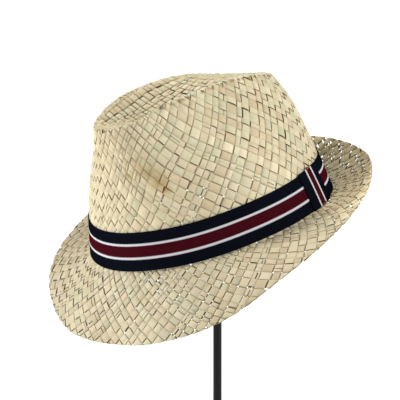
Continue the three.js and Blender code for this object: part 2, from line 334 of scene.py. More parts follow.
def top_height(x, y):
    """Height of the dished top over a place in plan. Its turn is found by halving."""
    side_x = np.maximum(np.abs(x), TOP_SEARCH["nearest"])
    low = np.full(np.shape(x), TOP_SEARCH["turns"][0])
    high = np.full(np.shape(x), TOP_SEARCH["turns"][1])
    for _ in range(TOP_SEARCH["halvings"]):
        turn = (low + high) / 2
        out = share_out(side_x, turn)
        reach = out * column(CREST, "y", turn) + (1 - out) * column(VALLEY, "y", turn)
        beyond = reach > y
        high = np.where(beyond, turn, high)
        low = np.where(beyond, low, turn)
    out = np.clip(share_out(side_x, turn), 0, TOP_SEARCH["beyond"])
    return top_point(turn, 1 - out)[..., 2]


def top_sheet(x, y):
    """A point of the top over a place in plan."""
    return np.stack([x, y, top_height(x, y)], -1)


def normal_of(surface, a, b, step_a=0.5, step_b=0.5):
    """The way out from a surface at its places (a, b)."""
    along = surface(a + step_a, b) - surface(a - step_a, b)
    across = surface(a, b + step_b) - surface(a, b - step_b)
    return unit(np.cross(along, across))


def lifted(surface, a, b, away):
    """Points over a surface, moved out from it along its normal."""
    return surface(a, b) + normal_of(surface, a, b) * np.asarray(away)[..., None]


def hat_frame():
    """How the hat is placed and tipped on its post."""
    tip = Matrix.Rotation(math.radians(HAT_TIP_FORWARD), 4, "X")
    lean = Matrix.Rotation(math.radians(HAT_TIP_SIDE), 4, "Y")
    return Matrix.Translation(HAT_PLACE) @ tip @ lean


def to_world(points):
    """Hat millimetres to the frame's metres."""
    matrix = np.array(hat_frame())
    return (points * 0.001) @ matrix[:3, :3].T + matrix[:3, 3]


# ---------------------------------------------------------------- making meshes


def new_mesh(name, points, faces, material, uv=None, tint=None, sharp=40.0):
    """A mesh object from points in metres and quads, with a UV map and a colour per point."""
    mesh = bpy.data.meshes.new(name)
    mesh.vertices.add(len(points))
    mesh.vertices.foreach_set("co", np.asarray(points, np.float32).ravel())
    faces = np.asarray(faces, np.int32)
    mesh.loops.add(faces.size)
    mesh.loops.foreach_set("vertex_index", faces.ravel())
    mesh.polygons.add(len(faces))
    mesh.polygons.foreach_set("loop_start", np.arange(0, faces.size, 4, dtype=np.int32))
    mesh.update(calc_edges=True)
    mesh.polygons.foreach_set("use_smooth", np.ones(len(faces), bool))
    if uv is not None:
        layer = mesh.uv_layers.new(name="UVMap")
        layer.data.foreach_set("uv", np.asarray(uv, np.float32)[faces.ravel()].ravel())
    if tint is not None:
        colours = np.ones((len(points), 4), np.float32)
        colours[:, :3] = tint
        layer = mesh.color_attributes.new(name="tint", type="FLOAT_COLOR", domain="POINT")
        layer.data.foreach_set("color", colours.ravel())
    mesh.validate()
    mesh.set_sharp_from_angle(angle=math.radians(sharp))
    mesh.materials.append(material)
    piece = bpy.data.objects.new(name, mesh)
    bpy.context.scene.collection.objects.link(piece)
    return piece


def swept_faces(sections, size, closed_along, capped=False):
    """Quads of a body swept through sections that have the same number of points each."""
    count = sections if closed_along else sections - 1
    i = np.arange(count)[:, None]
    j = np.arange(size)[None, :]
    here = i * size
    following = (i + 1) % sections * size
    onward = (j + 1) % size
    corners = np.broadcast_arrays(here + j, following + j, following + onward, here + onward)
    quads = np.stack(corners, -1).reshape(-1, 4)
    if capped:
        half = size // 2
        k = np.arange(half - 1)
        start = np.stack([k, k + 1, size - 2 - k, size - 1 - k], -1)
        end = start[:, ::-1] + (sections - 1) * size
        quads = np.concatenate([quads, start, end])
    return quads


# ---------------------------------------------------------------- materials


class Nodes:
    """A new material and a short way to build its node tree."""

    def __init__(self, name):
        self.material = bpy.data.materials.new(name)
        self.material.use_nodes = True
        self.tree = self.material.node_tree
        self.tree.nodes.clear()
        self.output = self.tree.nodes.new("ShaderNodeOutputMaterial")
        self.shader = self.tree.nodes.new("ShaderNodeBsdfPrincipled")
        self.link(self.shader.outputs["BSDF"], self.output.inputs["Surface"])

    def link(self, source, target):
        self.tree.links.new(source, target)

    def add(self, kind, inputs=None, **settings):
        node = self.tree.nodes.new(kind)
        for key, value in settings.items():
            setattr(node, key, value)
        for key, value in (inputs or {}).items():
            if isinstance(value, bpy.types.NodeSocket):
                self.link(value, node.inputs[key])
            else:
                node.inputs[key].default_value = value
        return node

    def math(self, operation, first, second=0.0, third=None):
        inputs = {0: first, 1: second}
        if third is not None:
            inputs[2] = third
        return self.add("ShaderNodeMath", inputs, operation=operation).outputs[0]

    def multiplied(self, first, second):
        inputs = {0: 1.0, 6: first, 7: second}
        return self.add("ShaderNodeMix", inputs, data_type="RGBA", blend_type="MULTIPLY").outputs[2]

    def noise(self, place, scale, detail=2.0):
        inputs = {"Vector": place, "Scale": scale, "Detail": detail}
        return self.add("ShaderNodeTexNoise", inputs).outputs[0]

    def bump(self, strength, distance, height):
        inputs = {"Strength": strength, "Distance": distance, "Height": height}
        return self.add("ShaderNodeBump", inputs).outputs[0]

    def stretched(self, place, scale):
        return self.add("ShaderNodeMapping", {"Vector": place, "Scale": scale}).outputs[0]

    def uv_place(self):
        return self.add("ShaderNodeUVMap", uv_map="UVMap").outputs[0]

    def object_place(self):
        return self.add("ShaderNodeTexCoord").outputs["Object"]

    def ramp(self, factor, stops, mode="LINEAR"):
        node = self.add("ShaderNodeValToRGB", {0: factor})
        node.color_ramp.interpolation = mode
        elements = node.color_ramp.elements
        while len(elements) < len(stops):
            elements.new(0.5)
        for element, (place, colour) in zip(elements, stops):
            element.position = place
            element.color = (*colour, 1.0)
        return node.outputs[0]

    def set(self, **sockets):
        for name, value in sockets.items():
            socket = self.shader.inputs[name.replace("_", " ")]
            if isinstance(value, bpy.types.NodeSocket):
                self.link(value, socket)
            else:
                socket.default_value = value


def linear(red, green, blue):
    """A colour from its 0 to 255 screen values."""
    def one(value):
        value = value / 255
        return value / 12.92 if value <= 0.04045 else ((value + 0.055) / 1.055) ** 2.4
    return (one(red), one(green), one(blue))


def straw_material():
    """Split straw: fine fibres along each strand over its tint, which holds the strand's own tone and
    stain spots together with painted shade and painted light.
    """
    nodes = Nodes("plaited_straw")
    tint = nodes.add("ShaderNodeVertexColor", layer_name="tint").outputs[0]
    place = nodes.uv_place()
    fibre = nodes.noise(nodes.stretched(place, (2.2, 0.06, 1.0)), 2.4, 3.0)
    veins = nodes.ramp(fibre, [(0.3, (0.84, 0.82, 0.78)), (0.7, (1.09, 1.09, 1.1))])
    cloud = nodes.noise(nodes.stretched(place, (0.12, 0.05, 1.0)), 1.7)
    warmth = nodes.ramp(cloud, [(0.3, (0.97, 1.0, 0.95)), (0.7, (1.03, 1.0, 0.97))])
    colour = nodes.multiplied(nodes.multiplied(tint, veins), warmth)
    rough = nodes.math("MULTIPLY_ADD", fibre, 0.25, 0.42)
    bump = nodes.bump(0.35, 0.0003, fibre)
    nodes.set(Base_Color=colour, Roughness=rough, Normal=bump, Specular_IOR_Level=0.35)
    return nodes.material


# The twill's slanted steps: how many cross the ribbon, how many there are to a millimetre along
# it, and how far they shift the edge of a stripe.
TWILL_ACROSS = 22.0
TWILL_ALONG = 0.68
TWILL_SHIFT = 0.05
RIBS_ALONG = 2.1


def ribbon_material(name, stripes):
    """Woven ribbon: stripes across its width, with the slanted steps of a twill."""
    nodes = Nodes(name)
    place = nodes.uv_place()
    parts = nodes.add("ShaderNodeSeparateXYZ", {0: place})
    along, across = parts.outputs[0], parts.outputs[1]
    sloped = nodes.math("MULTIPLY", along, TWILL_ALONG)
    tooth = nodes.math("PINGPONG", nodes.math("MULTIPLY_ADD", across, TWILL_ACROSS, sloped), 0.5)
    centred = nodes.math("ADD", across, -TWILL_SHIFT / 4)
    stripe = nodes.ramp(nodes.math("MULTIPLY_ADD", tooth, TWILL_SHIFT, centred), stripes, "CONSTANT")
    rib = nodes.math("PINGPONG", nodes.math("MULTIPLY", along, RIBS_ALONG), 0.5)
    threads = nodes.math("MULTIPLY_ADD", rib, 0.6, tooth)
    brightening = nodes.math("MULTIPLY_ADD", nodes.noise(place, 3.0), 0.5, threads)
    shade = nodes.ramp(brightening, [(0.0, (0.72, 0.72, 0.72)), (0.9, (1.12, 1.12, 1.12))])
    colour = nodes.multiplied(stripe, shade)
    bump = nodes.bump(0.5, 0.0003, threads)
    nodes.set(Base_Color=colour, Roughness=0.7, Normal=bump, Specular_IOR_Level=0.0)
    return nodes.material


def black_material(name, roughness):
    """Black coated metal with a little unevenness in its satin."""
    nodes = Nodes(name)
    place = nodes.object_place()
    cloud = nodes.noise(place, 30.0, 3.0)
    colour = nodes.ramp(cloud, [(0.3, linear(8, 8, 9)), (0.7, linear(13, 13, 14))])
    rough = nodes.math("MULTIPLY_ADD", cloud, 0.2, roughness - 0.1)
    bump = nodes.bump(0.15, 0.0001, nodes.noise(place, 900.0))
    nodes.set(Base_Color=colour, Roughness=rough, Normal=bump, Specular_IOR_Level=0.18)
    return nodes.material


def thread_material():
    """Brown waxed sewing thread, twisted."""
    nodes = Nodes("brown_thread")
    grain = nodes.noise(nodes.object_place(), 2500.0)
    colour = nodes.ramp(grain, [(0.3, linear(104, 68, 38)), (0.7, linear(156, 114, 70))])
    nodes.set(Base_Color=colour, Roughness=0.6, Normal=nodes.bump(0.4, 0.0001, grain))
    return nodes.material


def floor_material():
    """Pale matt paper, a little uneven."""
    nodes = Nodes("pale_floor")
    cloud = nodes.noise(nodes.object_place(), 3.0)
    colour = nodes.ramp(cloud, [(0.3, (0.93, 0.93, 0.93)), (0.7, (0.95, 0.95, 0.95))])
    nodes.set(Base_Color=colour, Roughness=0.9, Specular_IOR_Level=0.1)
    return nodes.material


# ---------------------------------------------------------------- plaiting

SAMPLES = (0.0, 0.06, 0.2, 0.5, 0.8, 0.94)  # places along a strand within each crossing
ACROSS = np.array([-0.5, -0.2, 0.2, 0.5])    # places across a strand
LEAST_AREA = 1e-4   # faces of less than half this many square millimetres are left out
STRAW_DEPTH = 0.8   # how far inside the hat's outer face the middle of the plait lies

STRAW_TONES = np.array([
    linear(217, 205, 172),
    linear(211, 199, 166),
    linear(222, 211, 181),
    linear(207, 201, 170),
    linear(198, 194, 163),
    linear(214, 198, 166),
    linear(203, 184, 150),
])
TONE_SHARES = (0.3, 0.2, 0.18, 0.12, 0.05, 0.11, 0.04)

# How alike the strands are: the share of the average tone in each, and the chance differences
# between strands, between the crossings of a strand, and between the colours of a crossing.
TONE_SHARED = 0.3
TONE_CHANCE = 0.03
CELL_CHANCE = 0.028
HUE_CHANCE = 0.01

# How unevenly strands lie: how far an edge tips up or down, in millimetres, and then in strand
# widths how far they wander sideways, and how much of their room they leave empty, at least and
# at most, along a strand and from strand to strand.
TIP = 0.12
WANDER = 0.05
SLACK = (0.02, 0.36)
SLACK_DRIFT = 0.05
SLACK_CHANCE = 0.025

# Where a split strand parts, the tone of its second half, and how uneven halves are against a
# whole strand.
SPLIT = (0.36, 0.64)
SPLIT_TONE = (0.92, 1.03)
HALF_CALM = 0.5

# The straw's grain, in units of its texture: across a strand's width, the most by which strands
# start apart, and along a strand for each other strand that it crosses, times the plait's pitch.
GRAIN_ACROSS = 6.0
GRAIN_START = 500
GRAIN_ALONG = 0.7

# Painted shade at the crossings, darkest where a strand goes under the other: its depth under the
# other strand and the shade there, then the powers of red, green and blue that make the shade brown.
SHADOW = ([-0.2, -0.06, 0.0, 0.06], [0.3, 0.34, 0.74, 1.0])
PAINTED_SHADE_HUE = np.array([0.85, 1.0, 1.2])

# Painted light is warmer, as the powers of its red, green and blue. Painted shade takes them the
# other way round.
PAINTED_LIGHTING_HUE = np.array([1.08, 1.0, 0.88])

# A painted highlight along the crest between two turns, with painted dashes of shade below it.
CREST_LINE = {
    "turns": (54.0, 165.0),
    "points": 240,
    "clear_of_middle": 20.0,
    "width": 1.0,
    "highlight": 0.36,
    "dash_away": 2.3,
    "dash_width": 1.0,
    "dash_drop": -0.8,
    "dash_rate": 0.62,
    "dash_sway": 1.3,
    "sway_rate": 0.23,
    "dash_length": 0.3,
    "dash_shade": 0.85,
}
CHUNK = 20000   # points compared with the crest's line at a time

# Brown stains on the straw: where in the hat's frame, how wide, how dark. They take most from
# the blue and least from the red.
STAIN_HUE = np.array([0.6, 1.0, 1.6])
STAINS = (
    ((22, -80, 72), 6.5, 0.22),
    ((28, -78, 67), 4.5, 0.3),
    ((34, -76, 60), 5.5, 0.42),
    ((37, -75, 54), 2.6, 0.5),
    ((14, -85, 68), 2.2, 0.4),
    ((-75, -118, -18), 4.0, 0.5),
)


def uneven_marks(count, unevenness, seed):
    """Edges between strands, a strand apart on average, for a plait that closes on itself."""
    chance = np.random.default_rng(seed)
    shift = chance.uniform(-unevenness, unevenness, count)
    return np.arange(count) + shift


class Plait:
    """Two families of strands that go over and under each other. Their places are in strand
    widths: own is a strand's place in its family, other its place along, in the other family."""

    def __init__(self, place, ends, seed, settings, swing=1.0, dome=1.0, fill=1.0, tone_and_painted_shade=1.0):
        self.place = place
        self.ends = ends
        self.chance = np.random.default_rng(seed)
        self.thickness = settings.thickness * 1000
        self.swing = settings.swing * 1000 * swing
        self.dome = settings.dome * 1000 * dome
        self.fill = settings.fill * fill
        # Brightness of the straw by part: partly its own tone, partly painted shade on the top and
        # brim.
        self.tone_and_painted_shade = tone_and_painted_shade
        # How dark the painted shade at the crossings is, and how far it spreads.
        self.shade = 1.0   # how dark the crossings are
        self.soft = 1.0    # how far their shade spreads
        self.loose = None
        # Painted light and shade by place, used on the brim only.
        self.painted_lighting = None
        self.split = settings.split
        self.points = []
        self.uvs = []
        self.tints = []
        self.faces = []
        self.total = 0

    def strand(self, family, index, edges, cross_edges, cross_first):
        """One strand, or two narrow ones side by side in its room."""
        tone = STRAW_TONES[self.chance.choice(len(STRAW_TONES), p=TONE_SHARES)]
        plain = np.average(STRAW_TONES, axis=0, weights=TONE_SHARES)
        tone = plain * TONE_SHARED + tone * (1 - TONE_SHARED)
        tone = tone * (self.tone_and_painted_shade + self.chance.normal(0, TONE_CHANCE))
        parity = cross_first + index + family
        if self.chance.random() < self.split:
            middle = edges[0] + (edges[1] - edges[0]) * self.chance.uniform(*SPLIT)
            self.strip(edges[0], middle, tone, cross_edges, parity, HALF_CALM)
            tone = tone * self.chance.uniform(*SPLIT_TONE)
            self.strip(middle, edges[1], tone, cross_edges, parity, HALF_CALM)
        else:
            self.strip(*edges, tone, cross_edges, parity, 1.0)

    def drift(self, count, size, calm):
        """An uneven line that changes slowly along a strand. 4.4 keeps it near the size given."""
        raw = self.chance.normal(0, size, count + 4)
        soft = (raw[:-4] + 2 * raw[1:-3] + 3 * raw[2:-2] + 2 * raw[3:-1] + raw[4:]) / 4.4
        return calm * soft

    def shadow(self, depth):
        """The painted shade that a place gets from its depth under the other family's strand."""
        shade = np.interp(depth / self.soft, *SHADOW)[..., None]
        return shade ** (PAINTED_SHADE_HUE * self.shade)

    def strip(self, near, far, tone, cross_edges, parity, calm):
        """A strip of straw between two edges in its own family, over and under the other family.
        calm is 1 for a whole strand and less for one that lies more evenly."""
        widths = np.diff(cross_edges)
        steps = len(widths)
        samples = np.array(SAMPLES)
        each = len(SAMPLES)
        other = (cross_edges[:-1, None] + widths[:, None] * samples[None, :]).ravel()
        where = np.tile(samples, steps) - 0.5
        over = np.repeat((np.arange(steps) + parity) % 2, each) == 0
        sign = np.where(over, 1.0, -1.0)
        wave = np.minimum(1.0, 2.0 * np.cos(np.pi * where))
        room = far - near
        knots = np.arange(steps) + 0.5
        line = np.arange(steps * each) / each
        slide = np.interp(line, knots, self.drift(steps, WANDER, calm))
        slack = (1 - self.fill) * calm + np.interp(line, knots, self.drift(steps, SLACK_DRIFT, calm))
        slack = slack + self.chance.normal(0, SLACK_CHANCE) * calm
        if self.loose is not None:
            slack = slack + calm * self.loose((near + far) / 2, other)
        width = room - np.clip(slack, *SLACK)
        tilt = np.repeat(self.chance.normal(0, TIP, steps), each) * wave
        own = (near + far) / 2 + slide[:, None] + ACROSS[None, :] * width[:, None]
        low, high = self.ends(own.mean(0))
        use = (other[:, None] > low[None, :]) & (other[:, None] < high[None, :])
        rows = np.flatnonzero(use.any(1))
        if len(rows) < 2:
            return
        span = slice(max(rows[0] - 1, 0), min(rows[-1] + 1, len(other) - 1) + 1)
        clipped = np.clip(other[:, None], low[None, :], high[None, :])[span]
        own, tilt, width = own[span], tilt[span], width[span]
        sign, wave, where, over = sign[span], wave[span], where[span], over[span]
        bulge = (1 - (2 * ACROSS) ** 2)[None, :] * self.dome * np.minimum(1.0, width)[:, None]
        bulge = bulge * np.where(over, np.cos(np.pi * where), 0.5)[:, None]
        middle = (sign * wave)[:, None] * self.swing + tilt[:, None] * 2 * ACROSS[None, :]
        point, normal, run = self.place(own, clipped)
        top = point + normal * (middle + bulge + self.thickness / 2)[..., None]
        bottom = point + normal * (middle + bulge - self.thickness / 2)[..., None]
        ring = np.concatenate([top, bottom[:, ::-1]], 1)
        count, size = ring.shape[:2]
        cell = 1 + self.chance.normal(0, CELL_CHANCE, (steps, 1))
        cell = np.repeat(cell + self.chance.normal(0, HUE_CHANCE, (steps, 3)), each, 0)[span]
        deep = np.where(over, 0.5 - np.abs(where), np.abs(where) - 0.5)[:, None]
        face = len(ACROSS)
        tint = np.repeat((tone * cell)[:, None, :], 2 * face, 1)
        # Painted light and painted shade on the outer face.
        if self.painted_lighting is not None:
            painted_lighting = self.painted_lighting((near + far) / 2, other[span])[:, None, None]
            tint[:, :face] *= painted_lighting ** np.where(painted_lighting > 1, PAINTED_LIGHTING_HUE, PAINTED_LIGHTING_HUE[::-1])
        # Painted shade on each face where it goes under the other family's strands.
        tint[:, :face] *= self.shadow(deep)
        tint[:, face:] *= self.shadow(-deep)
        start = self.chance.uniform(0, GRAIN_START)
        across = ACROSS * GRAIN_ACROSS * room
        u = np.broadcast_to(np.concatenate([across, across[::-1]]), (count, size)) + start
        v = np.concatenate([run, run[:, ::-1]], 1) + start
        flat = ring.reshape(-1, 3)
        quads = swept_faces(count, size, False, True)
        corners = flat[quads]
        area = np.cross(corners[:, 2] - corners[:, 0], corners[:, 3] - corners[:, 1])
        quads = quads[np.linalg.norm(area, axis=1) > LEAST_AREA]
        self.points.append(flat)
        self.uvs.append(np.stack([u.ravel(), v.ravel()], -1))
        self.tints.append(tint.reshape(-1, 3))
        self.faces.append(quads + self.total)
        self.total += len(flat)

    def piece(self, name):
        """The mesh of all the strands so far, in plaited straw."""
        points = np.concatenate(self.points)
        # The straw's real stain spots, times the painted highlight and shade along the crest.
        tint = np.concatenate(self.tints) * stains_and_painted_crest(points)[:, None] ** STAIN_HUE
        # Painted shade in and round the hole at the notch.
        tint = tint * spot_shade(points, NOTCH["place"], NOTCH["shaded"], NOTCH["darkened"])[:, None]
        material = bpy.data.materials.get("plaited_straw") or straw_material()
        faces = np.concatenate(self.faces)
        uv = np.concatenate(self.uvs)
        return new_mesh(name, to_world(points), faces, material, uv, tint, sharp=60.0)


def spot_shade(points, place, radius, depth):
    """1 far from a dark spot, and less by its depth at its middle."""
    distance = np.linalg.norm(points - np.array(place), axis=1)
    return 1 - depth * np.exp(-(distance / radius) ** 2)


def stains_and_painted_crest(points):
    """How far the straw is darkened by its few brown stain spots, 1 where it is clean, times the
    painted highlight along the crest and the painted dashes of shade below it."""
    shade = np.ones(len(points))
    line = crest_point(np.linspace(*CREST_LINE["turns"], CREST_LINE["points"]))
    near = np.flatnonzero(np.hypot(points[:, 0], points[:, 1]) > CREST_LINE["clear_of_middle"])
    for part in np.array_split(near, max(1, len(near) // CHUNK)):
        away = points[part][:, None, :] - line[None, :, :]
        distance = np.linalg.norm(away, axis=2)
        closest = distance.argmin(1)
        found = distance[np.arange(len(part)), closest]
        drop = away[np.arange(len(part)), closest, 2]
        # Painted highlight on the crest's fold, and painted shade in dashes below it.
        brightening = np.exp(-(found / CREST_LINE["width"]) ** 2)
        sway = CREST_LINE["dash_sway"] * np.sin(closest * CREST_LINE["sway_rate"])
        wave = np.sin(closest * CREST_LINE["dash_rate"] + sway)
        dash = np.clip(wave + CREST_LINE["dash_length"], 0, 1) * (drop < CREST_LINE["dash_drop"])
        beside = (found - CREST_LINE["dash_away"]) / CREST_LINE["dash_width"]
        under = np.exp(-beside ** 2) * dash
        shade[part] *= (1 + CREST_LINE["highlight"] * brightening) * (1 - CREST_LINE["dash_shade"] * under)
    for stain in STAINS:
        shade = shade * spot_shade(points, *stain)
    return shade


END_SEARCH = (-60.0, 220.0)   # the lengths between which a strand ends
END_HALVINGS = 22


def round_plait(
    settings, family, sheet, warp, pitch, count, low, high, outside, seed, marks,
    dive=None, fill=1.0, tone_and_painted_shade=1.0, loose=None, painted_lighting=None
):
    """One family of a plait that runs round the hat at a slant. sheet gives a point for a turn and
    a length along, warp moves such places, pitch is the length of one step of the plait, low and
    high are the lengths between which it lies, and outside is 1 or -1 for the side of the sheet
    that is the hat's outer face. dive sinks it and loose thins its strands; the argument after loose
    lays painted light and painted shade on their outer faces."""
    own_marks, cross_marks = marks if family == 0 else marks[::-1]
    way = 1.0 if family == 0 else -1.0

    def turn_at(own, other):
        return (own + other) / 2 * 360.0 / count

    def spot(own, other):
        return warp(turn_at(own, other), way * (other - own) / 2 * pitch)

    def ends(own):
        found = []
        for limit in (low, high):
            near = np.full(len(own), END_SEARCH[0])
            far = np.full(len(own), END_SEARCH[1])
            for _ in range(END_HALVINGS):
                length = (near + far) / 2
                turn, reached = spot(own, own + way * 2 * length / pitch)
                beyond = reached > limit(turn)
                far = np.where(beyond, length, far)
                near = np.where(beyond, near, length)
            found.append(own + way * 2 * length / pitch)
        return np.minimum(*found), np.maximum(*found)

    def place(own, other):
        turn, length = spot(own, other)
        normal = normal_of(sheet, turn, length, 0.5, 0.4) * outside
        away = -STRAW_DEPTH if dive is None else -STRAW_DEPTH + dive(turn, length)[..., None]
        return sheet(turn, length) + normal * away, normal, (other - own) * pitch * GRAIN_ALONG

    plait = Plait(place, ends, seed + family, settings, fill=fill, tone_and_painted_shade=tone_and_painted_shade)
    if loose is not None:
        plait.loose = lambda own, other: loose(turn_at(own, other))
    if painted_lighting is not None:
        plait.painted_lighting = lambda own, other: painted_lighting(turn_at(own, other))
    for index in range(count):
        following = own_marks[index + 1] if index + 1 < count else own_marks[0] + count
        edges = (own_marks[index], following)
        span = ends(np.array(edges))
        first = int(math.floor(span[0].min())) - 2
        last = int(math.ceil(span[1].max())) + 2
        numbers = np.arange(first, last + 1)
        cross = cross_marks[numbers % count] + (numbers // count) * count
        plait.strand(family, index, edges, cross, first)
    return plait


# ---------------------------------------------------------------- settings


class PlaitSettings(bpy.types.PropertyGroup):
    thickness: bpy.props.FloatProperty(
        name="Thickness", description="Thickness of a strand", default=0.0005, unit="LENGTH"
    )
    swing: bpy.props.FloatProperty(
        name="Swing", description="How far a strand goes up and down",
        default=0.00052, unit="LENGTH"
    )
    dome: bpy.props.FloatProperty(
        name="Dome", description="How far a strand bulges between its edges",
        default=0.00034, unit="LENGTH"
    )
    fill: bpy.props.FloatProperty(
        name="Fill", description="Share of its room that a strand fills",
        default=0.89, subtype="FACTOR"
    )
    split: bpy.props.FloatProperty(
        name="Split", description="Share of the strands that are two narrow ones",
        default=0.16, subtype="FACTOR"
    )
    crown_strands: bpy.props.IntProperty(
        name="Crown strands", description="Strands of each slant round the crown", default=62
    )
    brim_strands: bpy.props.IntProperty(
        name="Brim strands", description="Strands of each slant round the brim", default=84
    )
    crown_pitch: bpy.props.FloatProperty(
        name="Crown pitch", description="Height of a step of the crown's plait",
        default=0.0094, unit="LENGTH"
    )
    brim_pitch: bpy.props.FloatProperty(
        name="Brim pitch", description="Width of a step of the brim's plait",
        default=0.0086, unit="LENGTH"
    )
    top_pitch: bpy.props.FloatProperty(
        name="Top pitch", description="Width of a strand on the top", default=0.0058, unit="LENGTH"
    )
    seam: bpy.props.FloatProperty(
        name="Seam", description="Height over the foot where crown and brim meet under the ribbon",
        default=0.010, unit="LENGTH"
    )


class RibbonSettings(bpy.types.PropertyGroup):
    width: bpy.props.FloatProperty(
        name="Width", description="Width of the ribbon", default=0.0275, unit="LENGTH"
    )
    length: bpy.props.FloatProperty(
        name="Length", description="Length of the ribbon round the crown",
        default=0.58, unit="LENGTH"
    )
    lift: bpy.props.FloatProperty(
        name="Lift", description="Height of its lower edge over the foot",
        default=0.001, unit="LENGTH"
    )
    thickness: bpy.props.FloatProperty(
        name="Thickness", description="Thickness of the ribbon", default=0.0007, unit="LENGTH"
    )
    keeper_width: bpy.props.FloatProperty(
        name="Keeper width", description="Width of the keeper", default=0.0275, unit="LENGTH"
    )
    keeper_turn: bpy.props.FloatProperty(
        name="Keeper turn", description="Degrees from the front to the keeper", default=106.4
    )


class StandSettings(bpy.types.PropertyGroup):
    steps: bpy.props.IntProperty(
        name="Steps", description="Steps round the turned pieces", default=128
    )
    edge: bpy.props.FloatProperty(
        name="Edge", description="Rounding of the base's edges", default=0.0025, unit="LENGTH"
    )
    dome: bpy.props.FloatProperty(
        name="Dome", description="Radius of the curve of the cap's dome",
        default=0.062, unit="LENGTH"
    )


class StageSettings(bpy.types.PropertyGroup):
    azimuth: bpy.props.FloatProperty(
        name="Azimuth", description="Degrees round from the front", default=40.1
    )
    elevation: bpy.props.FloatProperty(
        name="Elevation", description="Degrees above level", default=12.0
    )
    distance: bpy.props.FloatProperty(
        name="Distance", description="Camera to hat", default=1.5, unit="LENGTH"
    )
    lens: bpy.props.FloatProperty(
        name="Lens", description="Focal length in millimetres", default=184.0
    )


# ---------------------------------------------------------------- pieces


def finish_piece(piece, slot, *nodes):
    """Put a piece on the one body, and hide the solids that it stands for. slot is not used."""
    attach(piece, "root")
    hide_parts(*nodes)
    return piece


UNEVEN_EDGES = 0.19   # how far the edges between strands stray, in strand widths

# The wall's strands go on over the crest, and then dive under the edge of the top's.
CROWN_PAST_CREST = 4.5
DIVE_STARTS = 2.5
DIVE_DEPTH = 1.1


class TRILBY_OT_crown(bpy.types.Operator):
    """Plait the wall of the crown"""

    bl_idname = "trilby.crown"
    bl_label = "Crown"

    def execute(self, context):
        settings = context.scene.trilby_plait
        count = settings.crown_strands
        marks = (uneven_marks(count, UNEVEN_EDGES, 11), uneven_marks(count, UNEVEN_EDGES, 12))

        def low(turn):
            return np.full(np.shape(turn), settings.seam * 1000)

        def high(turn):
            return wall_lengths.whole(turn) + CROWN_PAST_CREST

        def dive(turn, length):
            past = length - wall_lengths.whole(turn) - DIVE_STARTS
            return -DIVE_DEPTH * np.clip(past / (CROWN_PAST_CREST - DIVE_STARTS), 0, 1)

        pitch = settings.crown_pitch * 1000
        for family, name in ((0, "straw_crown_rising"), (1, "straw_crown_falling")):
            plait = round_plait(
                settings, family, crown_sheet, crown_warp, pitch, count, low, high, 1.0, 21, marks,
                dive, tone_and_painted_shade=0.82
            )
            finish_piece(plait.piece(name), "straw", "straw_hat")
        return {"FINISHED"}


# The top's plait: how far it stays inside the crest, where it starts and ends from front to back,
# the room for its strands each way, how they fan out towards the back, how its rim dips, and how
# dark and how wide the painted shade at its crossings is.
TOP = {
    "margin": 1.6,
    "front": -82.5,
    "back": 75.5,
    "places": 317,
    "half_width": 45.0,
    "half_length": 84.0,
    "uneven": 0.15,
    "fan": 0.008,
    "fan_middle": -20.0,
    "narrowest": 0.6,
    "widest": 1.12,
    "fan_width": 0.88,
    "dip": 0.8,
    "dip_starts": 4.0,
    "dip_run": 3.0,
    "shade": 3.0,
}


class TRILBY_OT_top(bpy.types.Operator):
    """Plait the dished top of the crown"""

    bl_idname = "trilby.top"
    bl_label = "Top"

    def execute(self, context):
        settings = context.scene.trilby_plait
        pitch = settings.top_pitch * 1000
        depth = np.linspace(TOP["front"], TOP["back"], TOP["places"])
        half = np.maximum(crest_half_width(depth) - TOP["margin"], 0)

        def fan(y):
            share = np.clip(1 + TOP["fan"] * (y - TOP["fan_middle"]), TOP["narrowest"], TOP["widest"])
            return share * pitch * TOP["fan_width"]

        def ends_across(own):
            reach = np.interp(own * pitch, depth, half, left=0, right=0) / fan(own * pitch)
            return -reach, reach

        def ends_along(own):
            inside = np.abs(own[:, None] * fan(depth)[None, :]) < half[None, :]
            first = depth[inside.argmax(1)]
            last = depth[len(depth) - 1 - inside[:, ::-1].argmax(1)]
            none = ~inside.any(1)
            return np.where(none, 0, first / pitch), np.where(none, 0, last / pitch)

        def spread(across, along):
            y = along * pitch
            limit = np.maximum(crest_half_width(y) - TOP["margin"], 0)
            x = np.clip(across * fan(y), -limit, limit)
            edge = limit + TOP["margin"] - np.abs(x)
            dip = TOP["dip"] * np.clip((TOP["dip_starts"] - edge) / TOP["dip_run"], 0, 1)
            normal = normal_of(top_sheet, x, y, 0.6, 0.6)
            return top_sheet(x, y) + normal * (-STRAW_DEPTH - dip)[..., None], normal, x, y

        def place_along(own, other):
            point, normal, _, run = spread(own, other)
            return point, normal, run

        def place_across(own, other):
            point, normal, run, _ = spread(other, own)
            return point, normal, run

        reach = int(TOP["half_width"] / (pitch * 0.5))
        span = int(TOP["half_length"] / pitch) + 2
        chance = np.random.default_rng(31)
        x_marks, y_marks = (
            np.arange(-most, most + 1) + chance.uniform(-TOP["uneven"], TOP["uneven"], 2 * most + 1)
            for most in (reach, span)
        )
        # Painted shade: the top's straw is made darker than the crown's.
        plait = Plait(place_along, ends_along, 33, settings, swing=1.7, dome=3.2, tone_and_painted_shade=0.78)
        plait.shade = TOP["shade"]
        plait.soft = TOP["shade"]
        for index in range(len(x_marks) - 1):
            plait.strand(0, index, x_marks[index:index + 2], y_marks, 0)
        plait.place = place_across
        plait.ends = ends_across
        for index in range(len(y_marks) - 1):
            plait.strand(1, index, y_marks[index:index + 2], x_marks, 0)
        finish_piece(plait.piece("straw_top"), "straw", "straw_hat")
        return {"FINISHED"}


def ramped(at, size, start, run):
    """0 up to a start, and the whole size after a run past it."""
    return size * np.clip((at - start) / run, 0, 1)


